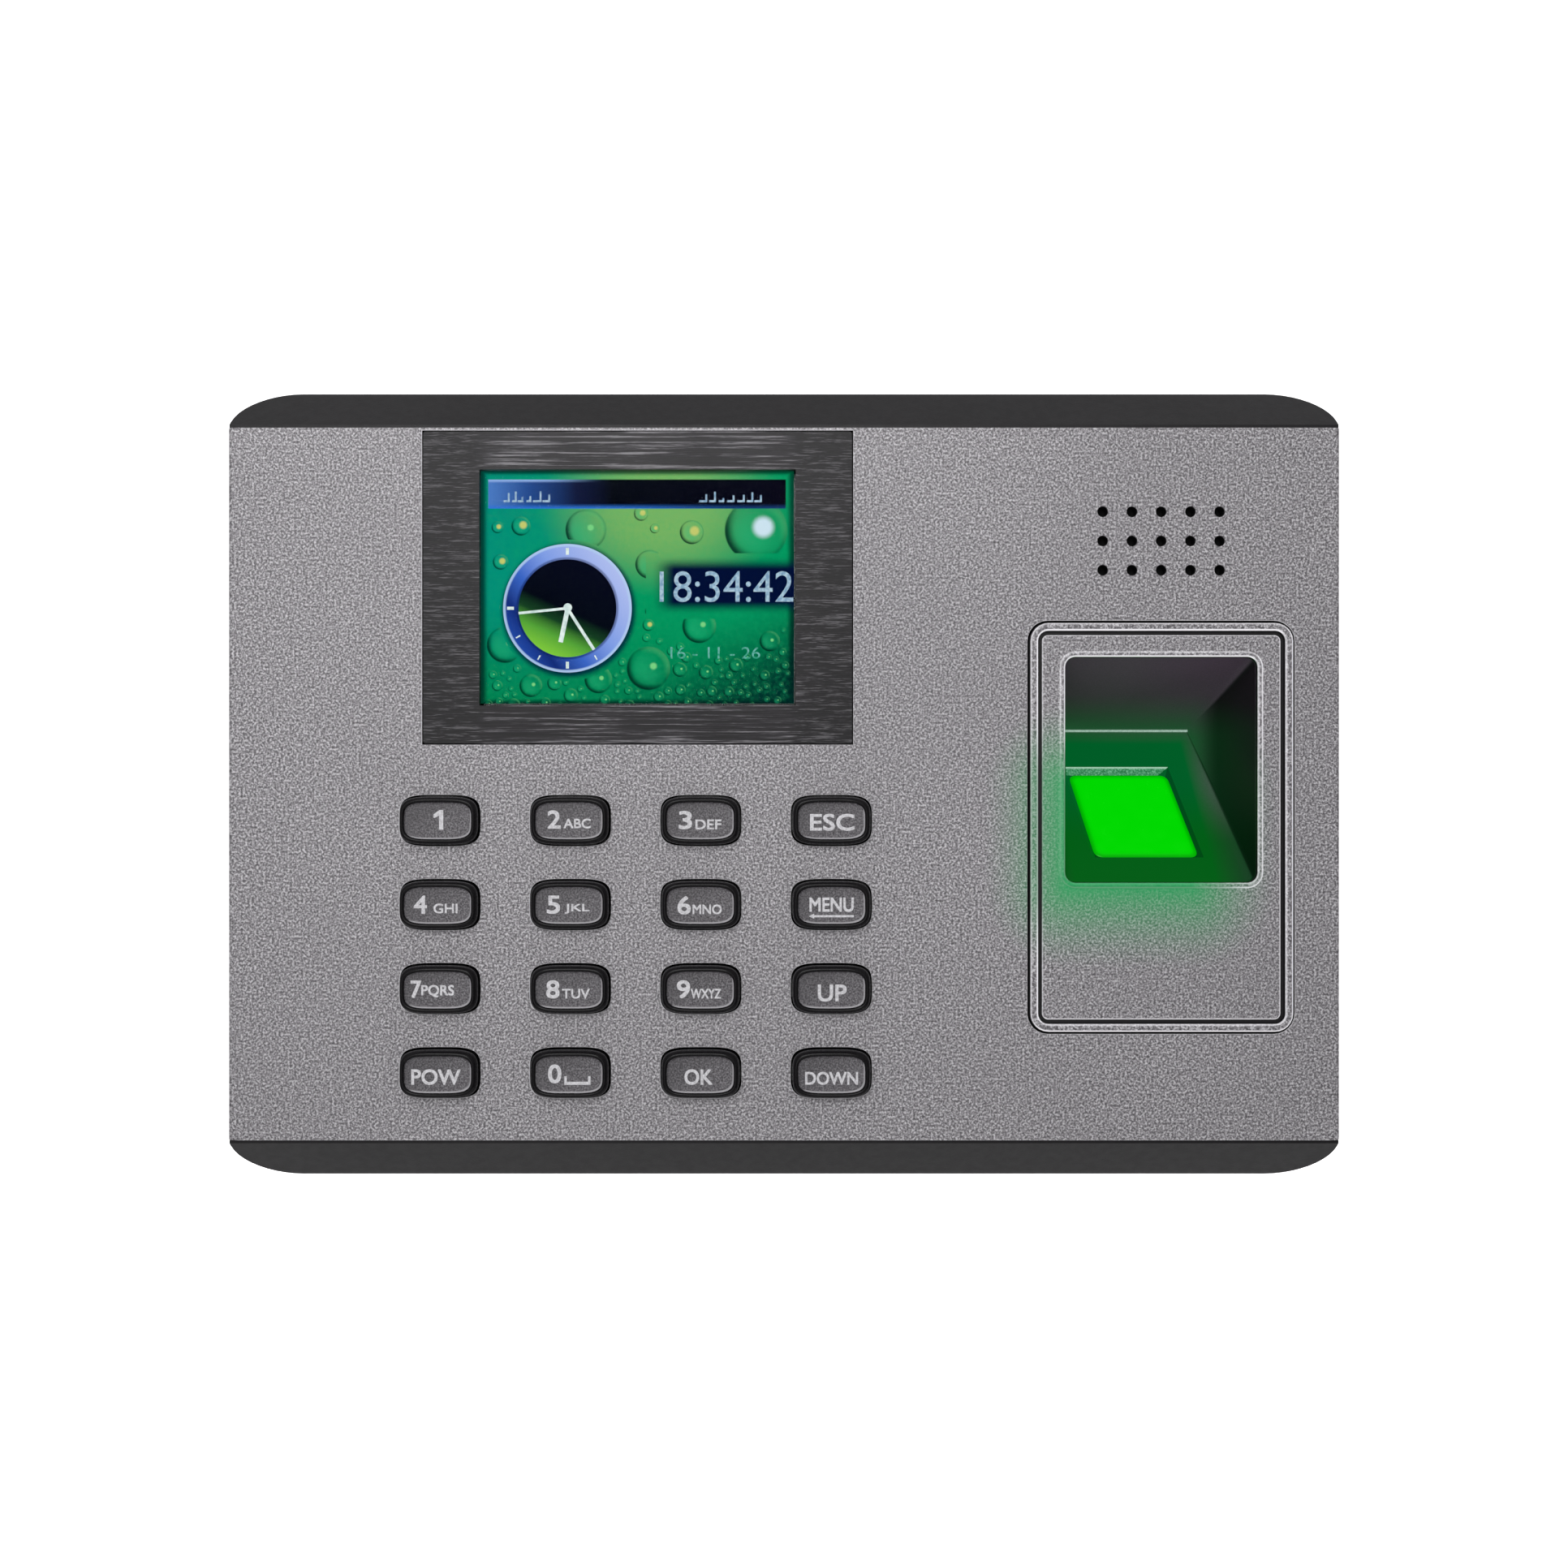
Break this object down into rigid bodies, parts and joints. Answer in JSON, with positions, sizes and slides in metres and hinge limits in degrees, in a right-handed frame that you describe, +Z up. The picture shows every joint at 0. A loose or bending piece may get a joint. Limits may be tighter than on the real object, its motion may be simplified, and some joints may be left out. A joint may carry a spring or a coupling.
{
  "type": "fingerprint scanner terminal",
  "caption": "Wall-hung time clock with a lit colour display, a pad of oblong keys, sound holes and an optical finger sensor in a sloping well.",
  "frame": {"origin": "centre of the wall plate's screw pattern, on the wall", "axes": "+X to the right as a user sees it, +Z up, the front faces -Y and the wall is the plane Y = 0"},
  "size_m": [0.18, 0.0378, 0.1306],
  "materials": {
    "battery_sleeve": "blue shrink sleeve",
    "bezel_black": "black, finely brushed across",
    "black_housing": "fine textured black plastic",
    "black_optics": "black lens barrel",
    "board_blue": "blue solder mask",
    "board_green": "green solder mask",
    "cable_black": "black cable jacket",
    "can_aluminium": "satin can",
    "cell_steel": "bright steel",
    "chip_black": "moulded black epoxy",
    "clear_window": "clear acrylic",
    "cone_black": "paper cone",
    "contact_gold": "gold plated",
    "flex_amber": "amber polyimide film",
    "foam_black": "foam ring",
    "green_lamp": "green lamp epoxy",
    "grey_paint": "silver grey metallic paint, fine speckle",
    "key_black": "black, glossy rim and fine matt top",
    "lcd_glass": "lit colour display",
    "magnet_grey": "bare magnet",
    "mat_rubber": "silicone mat",
    "ribbon_grey": "flat ribbon",
    "screw_steel": "plated screw",
    "sensor_glass": "green lit optical glass",
    "socket_ivory": "ivory nylon",
    "well_black": "black, satin",
    "white_plastic": "white",
    "wire_red": "red insulation",
    "zinc_steel": "zinc plated sheet"
  },
  "bodies": {
    "wall_plate": {"wall_plate": "zinc_steel"},
    "terminal": {"rear_housing": "black_housing", "front_cover": "grey_paint", "display_bezel": "bezel_black", "display_window": "clear_window", "lcd_panel": "lcd_glass", "lcd_backlight": "white_plastic", "lcd_bracket": "zinc_steel", "lcd_flex": "flex_amber", "sensor_bezel": "grey_paint", "sensor_well": "well_black", "sensor_prism": "sensor_glass", "sensor_housing": "well_black", "sensor_lens": "black_optics", "sensor_board": "board_blue", "sensor_leds": "green_lamp", "sensor_cable": "cable_black", "main_board": "board_green", "board_chips": "chip_black", "board_capacitors": "can_aluminium", "board_sockets": "socket_ivory", "clock_cell": "cell_steel", "clock_cell_holder": "chip_black", "keypad_board": "board_green", "keypad_contacts": "contact_gold", "keypad_mat": "mat_rubber", "keypad_ribbon": "ribbon_grey", "speaker_gasket": "foam_black", "speaker_frame": "cell_steel", "speaker_cone": "cone_black", "speaker_magnet": "magnet_grey", "speaker_wires": "wire_red", "backup_battery": "battery_sleeve", "battery_wires": "wire_red", "usb_shell": "cell_steel", "usb_tongue": "white_plastic", "power_jack": "chip_black", "power_jack_pin": "contact_gold", "case_screws": "screw_steel", "board_screws": "screw_steel", "keypad_screws": "screw_steel", "display_screws": "screw_steel"},
    "key_1": {"key_1": "key_black"},
    "key_2": {"key_2": "key_black"},
    "key_3": {"key_3": "key_black"},
    "key_escape": {"key_escape": "key_black"},
    "key_4": {"key_4": "key_black"},
    "key_5": {"key_5": "key_black"},
    "key_6": {"key_6": "key_black"},
    "key_menu": {"key_menu": "key_black"},
    "key_7": {"key_7": "key_black"},
    "key_8": {"key_8": "key_black"},
    "key_9": {"key_9": "key_black"},
    "key_up": {"key_up": "key_black"},
    "key_power": {"key_power": "key_black"},
    "key_0": {"key_0": "key_black"},
    "key_ok": {"key_ok": "key_black"},
    "key_down": {"key_down": "key_black"}
  },
  "joints": [
    {"name": "terminal_lift", "type": "slide", "parent": "wall_plate", "child": "terminal", "axis": [0, 0, 1], "range_m": [0, 0.008]},
    {"name": "press_key_1", "type": "slide", "parent": "terminal", "child": "key_1", "axis": [0, 1, 0], "range_m": [0, 0.001], "stiffness_N_per_m": 900},
    {"name": "press_key_2", "type": "slide", "parent": "terminal", "child": "key_2", "axis": [0, 1, 0], "range_m": [0, 0.001], "stiffness_N_per_m": 900},
    {"name": "press_key_3", "type": "slide", "parent": "terminal", "child": "key_3", "axis": [0, 1, 0], "range_m": [0, 0.001], "stiffness_N_per_m": 900},
    {"name": "press_key_escape", "type": "slide", "parent": "terminal", "child": "key_escape", "axis": [0, 1, 0], "range_m": [0, 0.001], "stiffness_N_per_m": 900},
    {"name": "press_key_4", "type": "slide", "parent": "terminal", "child": "key_4", "axis": [0, 1, 0], "range_m": [0, 0.001], "stiffness_N_per_m": 900},
    {"name": "press_key_5", "type": "slide", "parent": "terminal", "child": "key_5", "axis": [0, 1, 0], "range_m": [0, 0.001], "stiffness_N_per_m": 900},
    {"name": "press_key_6", "type": "slide", "parent": "terminal", "child": "key_6", "axis": [0, 1, 0], "range_m": [0, 0.001], "stiffness_N_per_m": 900},
    {"name": "press_key_menu", "type": "slide", "parent": "terminal", "child": "key_menu", "axis": [0, 1, 0], "range_m": [0, 0.001], "stiffness_N_per_m": 900},
    {"name": "press_key_7", "type": "slide", "parent": "terminal", "child": "key_7", "axis": [0, 1, 0], "range_m": [0, 0.001], "stiffness_N_per_m": 900},
    {"name": "press_key_8", "type": "slide", "parent": "terminal", "child": "key_8", "axis": [0, 1, 0], "range_m": [0, 0.001], "stiffness_N_per_m": 900},
    {"name": "press_key_9", "type": "slide", "parent": "terminal", "child": "key_9", "axis": [0, 1, 0], "range_m": [0, 0.001], "stiffness_N_per_m": 900},
    {"name": "press_key_up", "type": "slide", "parent": "terminal", "child": "key_up", "axis": [0, 1, 0], "range_m": [0, 0.001], "stiffness_N_per_m": 900},
    {"name": "press_key_power", "type": "slide", "parent": "terminal", "child": "key_power", "axis": [0, 1, 0], "range_m": [0, 0.001], "stiffness_N_per_m": 900},
    {"name": "press_key_0", "type": "slide", "parent": "terminal", "child": "key_0", "axis": [0, 1, 0], "range_m": [0, 0.001], "stiffness_N_per_m": 900},
    {"name": "press_key_ok", "type": "slide", "parent": "terminal", "child": "key_ok", "axis": [0, 1, 0], "range_m": [0, 0.001], "stiffness_N_per_m": 900},
    {"name": "press_key_down", "type": "slide", "parent": "terminal", "child": "key_down", "axis": [0, 1, 0], "range_m": [0, 0.001], "stiffness_N_per_m": 900}
  ]
}
